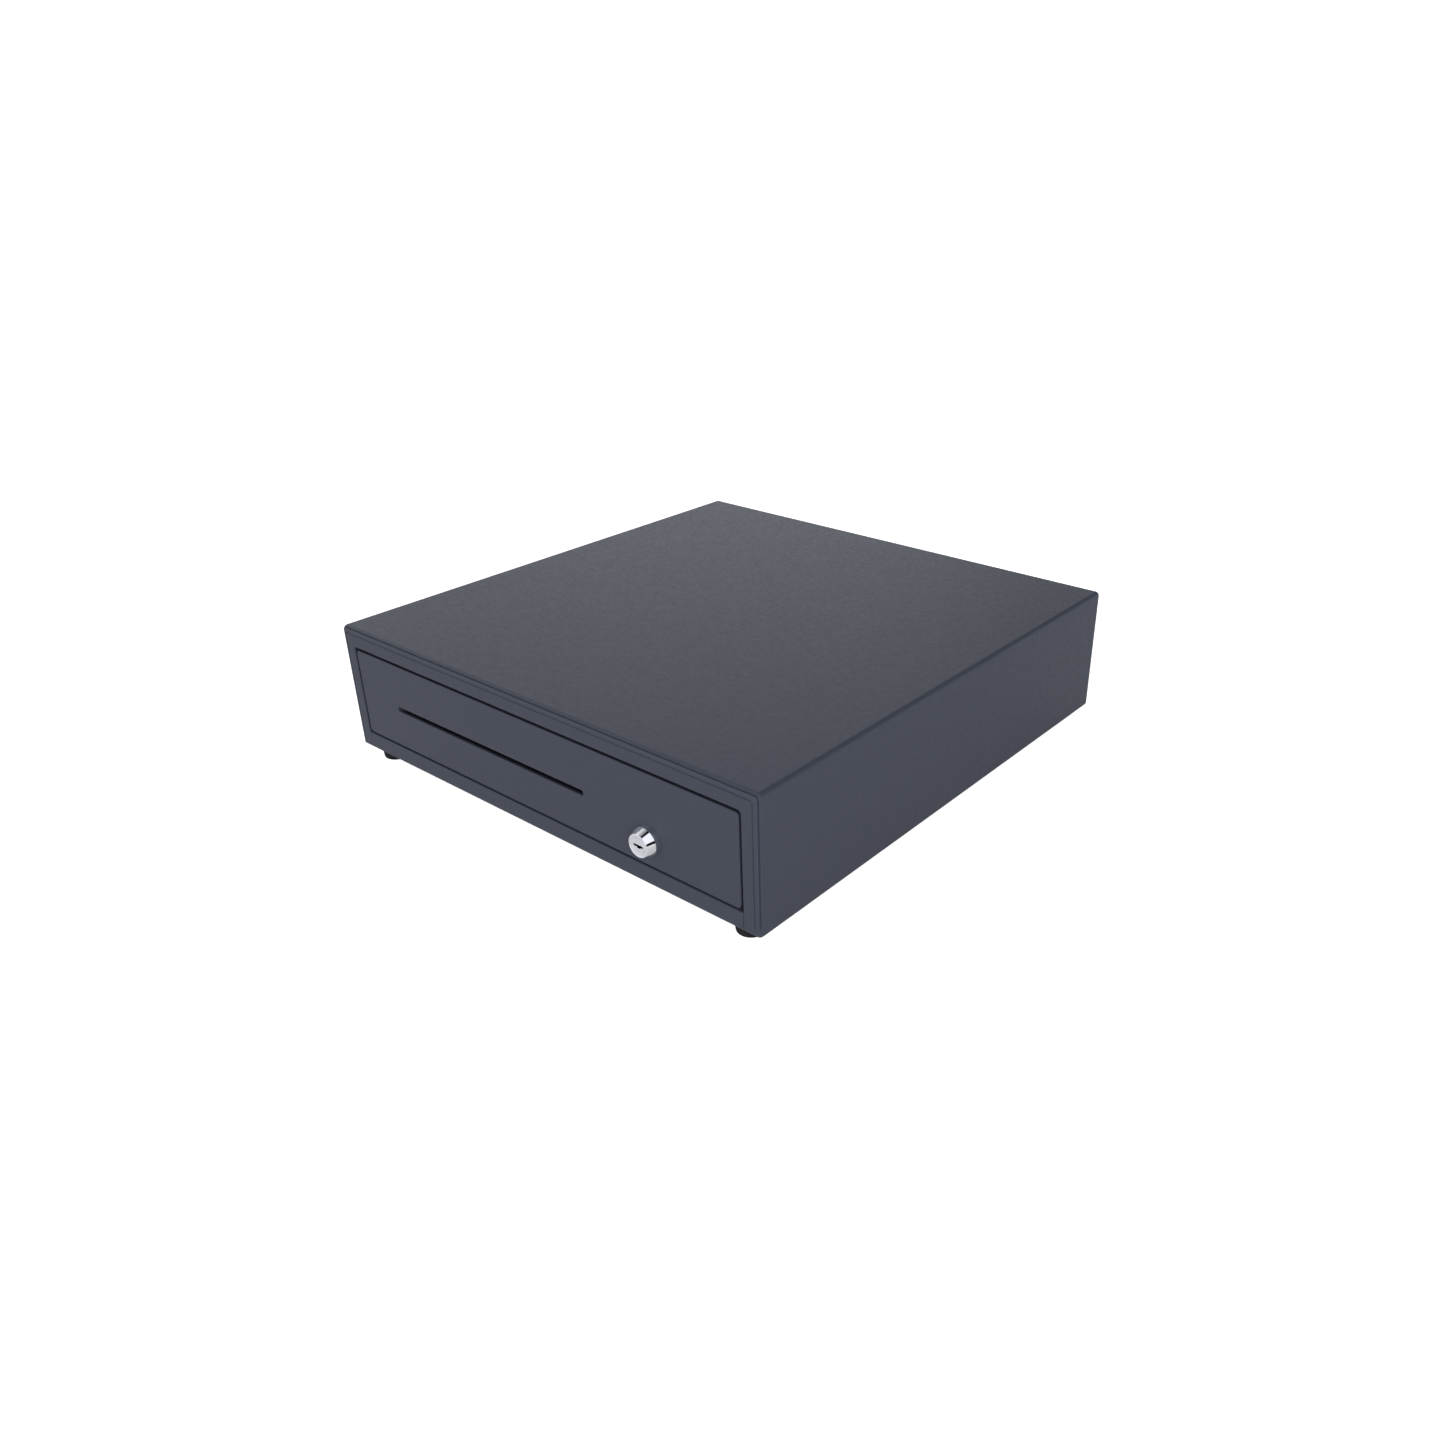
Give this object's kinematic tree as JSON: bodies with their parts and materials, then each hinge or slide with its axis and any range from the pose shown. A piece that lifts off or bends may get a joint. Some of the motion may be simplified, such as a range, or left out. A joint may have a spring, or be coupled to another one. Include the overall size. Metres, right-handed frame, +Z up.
{
  "type": "cash drawer",
  "caption": "Flat steel till case on rubber feet with an inset sliding drawer, a media slot and a key lock; a note and coin till, ball slides and a magnet latch inside.",
  "frame": {"origin": "middle of the footprint (the lock nose and the rear screw heads included) at the underside of the rubber feet", "axes": "+X to the right seen from the front, +Y from the drawer front to the back, +Z up"},
  "size_m": [0.41, 0.426, 0.109],
  "materials": {
    "case_paint": "fine-textured slate-black powder coat, satin",
    "pan_paint": "thin satin black paint on sheet steel",
    "rubber": "matt moulded rubber",
    "zinc": "bright zinc plate",
    "black_screw": "black oxide",
    "galvanised": "galvanised sheet steel",
    "slide_steel": "zinc-plated rolled steel, lightly greased",
    "spring_steel": "spring wire",
    "winding": "lacquered copper winding on a nylon bobbin",
    "cable": "PVC sheath",
    "moulded_black": "moulded nylon",
    "moulded_grey": "moulded acetal",
    "till_plastic": "black ABS, fine moulded grain",
    "clip_plastic": "black acetal",
    "chrome": "polished chrome plate",
    "cage_brass": "stamped brass ball retainer"
  },
  "bodies": {
    "housing": {"cover": "case_paint", "base_plate": "case_paint", "rear_panel": "case_paint", "foot_front_left": "rubber", "foot_front_right": "rubber", "foot_rear_left": "rubber", "foot_rear_right": "rubber", "foot_screws": "zinc", "rear_screws": "black_screw", "base_screws": "black_screw", "bracket_screws": "zinc", "slide_bracket_left": "galvanised", "slide_bracket_right": "galvanised", "slide_outer_left": "slide_steel", "slide_outer_right": "slide_steel", "closing_bumpers": "rubber", "latch_bracket": "galvanised", "hook_pin": "zinc", "hook_spring": "spring_steel", "magnet_frame": "galvanised", "magnet_coil": "winding", "magnet_core": "zinc", "magnet_lead": "cable", "pulse_socket": "moulded_black", "kick_guide": "moulded_black", "kick_spring": "spring_steel", "switch_body": "moulded_black"},
    "drawer": {"drawer_front": "case_paint", "drawer_pan": "pan_paint", "slot_chute": "case_paint", "front_nuts": "zinc", "striker": "zinc", "slide_inner_left": "slide_steel", "slide_inner_right": "slide_steel", "slide_screws": "zinc", "till_ledges": "galvanised", "till": "till_plastic", "coin_tray": "till_plastic", "clip_axle": "zinc", "clip_springs": "spring_steel", "lock_housing": "chrome", "lock_nut": "zinc", "rod_bush": "moulded_black"},
    "lock_core": {"lock_plug": "chrome", "lock_coupler": "zinc", "release_rod": "zinc"},
    "hook": {"latch_hook": "zinc"},
    "kicker": {"kick_plunger": "moulded_grey"},
    "lever": {"switch_lever": "spring_steel"},
    "middle_left": {"slide_middle_left": "slide_steel"},
    "middle_right": {"slide_middle_right": "slide_steel"},
    "balls_outer_left": {"outer_cage_left": "cage_brass"},
    "balls_outer_right": {"outer_cage_right": "cage_brass"},
    "balls_inner_left": {"inner_cage_left": "cage_brass"},
    "balls_inner_right": {"inner_cage_right": "cage_brass"},
    "clip_1": {"note_clip_1": "clip_plastic"},
    "clip_2": {"note_clip_2": "clip_plastic"},
    "clip_3": {"note_clip_3": "clip_plastic"},
    "clip_4": {"note_clip_4": "clip_plastic"},
    "clip_5": {"note_clip_5": "clip_plastic"}
  },
  "joints": [
    {"name": "drawer_slide", "type": "slide", "parent": "housing", "child": "drawer", "axis": [0, -1, 0], "range_m": [0, 0.325]},
    {"name": "middle_left_slide", "type": "slide", "parent": "housing", "child": "middle_left", "axis": [0, -1, 0], "range_m": [0, 0.1625]},
    {"name": "balls_outer_left_slide", "type": "slide", "parent": "housing", "child": "balls_outer_left", "axis": [0, -1, 0], "range_m": [0, 0.08125]},
    {"name": "balls_inner_left_slide", "type": "slide", "parent": "housing", "child": "balls_inner_left", "axis": [0, -1, 0], "range_m": [0, 0.24375]},
    {"name": "middle_right_slide", "type": "slide", "parent": "housing", "child": "middle_right", "axis": [0, -1, 0], "range_m": [0, 0.1625]},
    {"name": "balls_outer_right_slide", "type": "slide", "parent": "housing", "child": "balls_outer_right", "axis": [0, -1, 0], "range_m": [0, 0.08125]},
    {"name": "balls_inner_right_slide", "type": "slide", "parent": "housing", "child": "balls_inner_right", "axis": [0, -1, 0], "range_m": [0, 0.24375]},
    {"name": "kicker_slide", "type": "slide", "parent": "housing", "child": "kicker", "axis": [0, -1, 0], "range_m": [0, 0.03], "deforming": ["kick_spring"]},
    {"name": "switch_turn", "type": "hinge", "parent": "housing", "child": "lever", "pos_m": [0.07, 0.1576, 0.0332], "axis": [0, 0, -1], "range_deg": [0, 8]},
    {"name": "lock_turn", "type": "hinge", "parent": "drawer", "child": "lock_core", "pos_m": [0.113, -0.2, 0.0445], "axis": [0, 1, 0], "range_deg": [-90, 0]},
    {"name": "hook_turn", "type": "hinge", "parent": "housing", "child": "hook", "pos_m": [0.03, 0.1852, 0.056], "axis": [1, 0, 0], "range_deg": [0, 14], "deforming": ["hook_spring"]},
    {"name": "clip_1_turn", "type": "hinge", "parent": "drawer", "child": "clip_1", "pos_m": [-0.1412, 0.1312, 0.084], "axis": [-1, 0, 0], "range_deg": [0, 38], "stiffness_Nm_per_rad": 0.03, "springref_deg": -22.92},
    {"name": "clip_2_turn", "type": "hinge", "parent": "drawer", "child": "clip_2", "pos_m": [-0.0706, 0.1312, 0.084], "axis": [-1, 0, 0], "range_deg": [0, 38], "stiffness_Nm_per_rad": 0.03, "springref_deg": -22.92},
    {"name": "clip_3_turn", "type": "hinge", "parent": "drawer", "child": "clip_3", "pos_m": [0, 0.1312, 0.084], "axis": [-1, 0, 0], "range_deg": [0, 38], "stiffness_Nm_per_rad": 0.03, "springref_deg": -22.92},
    {"name": "clip_4_turn", "type": "hinge", "parent": "drawer", "child": "clip_4", "pos_m": [0.0706, 0.1312, 0.084], "axis": [-1, 0, 0], "range_deg": [0, 38], "stiffness_Nm_per_rad": 0.03, "springref_deg": -22.92},
    {"name": "clip_5_turn", "type": "hinge", "parent": "drawer", "child": "clip_5", "pos_m": [0.1412, 0.1312, 0.084], "axis": [-1, 0, 0], "range_deg": [0, 38], "stiffness_Nm_per_rad": 0.03, "springref_deg": -22.92}
  ],
  "couplings": [
    {"joint": "middle_left_slide", "follows": "drawer_slide", "ratio": 0.5},
    {"joint": "balls_outer_left_slide", "follows": "drawer_slide", "ratio": 0.25},
    {"joint": "balls_inner_left_slide", "follows": "drawer_slide", "ratio": 0.75},
    {"joint": "middle_right_slide", "follows": "drawer_slide", "ratio": 0.5},
    {"joint": "balls_outer_right_slide", "follows": "drawer_slide", "ratio": 0.25},
    {"joint": "balls_inner_right_slide", "follows": "drawer_slide", "ratio": 0.75},
    {"joint": "kicker_slide", "follows": "drawer_slide", "ratio": 0.0923},
    {"joint": "switch_turn", "follows": "drawer_slide", "rad_per_m": 0.42962},
    {"joint": "hook_turn", "follows": "lock_turn", "ratio": -0.15555}
  ]
}
